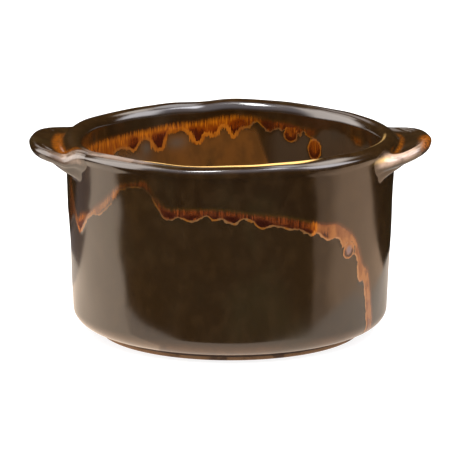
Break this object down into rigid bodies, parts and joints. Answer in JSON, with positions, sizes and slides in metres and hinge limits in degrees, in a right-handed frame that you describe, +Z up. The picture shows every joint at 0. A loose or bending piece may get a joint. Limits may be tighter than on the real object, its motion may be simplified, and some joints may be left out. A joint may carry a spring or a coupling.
{
  "type": "ramekin",
  "caption": "Round glazed stoneware ramekin with a rounded lip, a dished lug handle on either side of the rim and a bare clay foot ring.",
  "frame": {"origin": "centre of the foot ring on the surface that the ramekin stands on", "axes": "+Z up, +X through the right lug, +Y away from the viewer"},
  "size_m": [0.108, 0.09, 0.0545],
  "materials": {
    "brown_glaze": "glossy dark brown reactive glaze that breaks to amber",
    "bare_clay": "bare fired stoneware, matt"
  },
  "bodies": {
    "root": {"pot": "brown_glaze", "left_lug_handle": "brown_glaze", "right_lug_handle": "brown_glaze", "foot_ring": "bare_clay"}
  },
  "joints": []
}
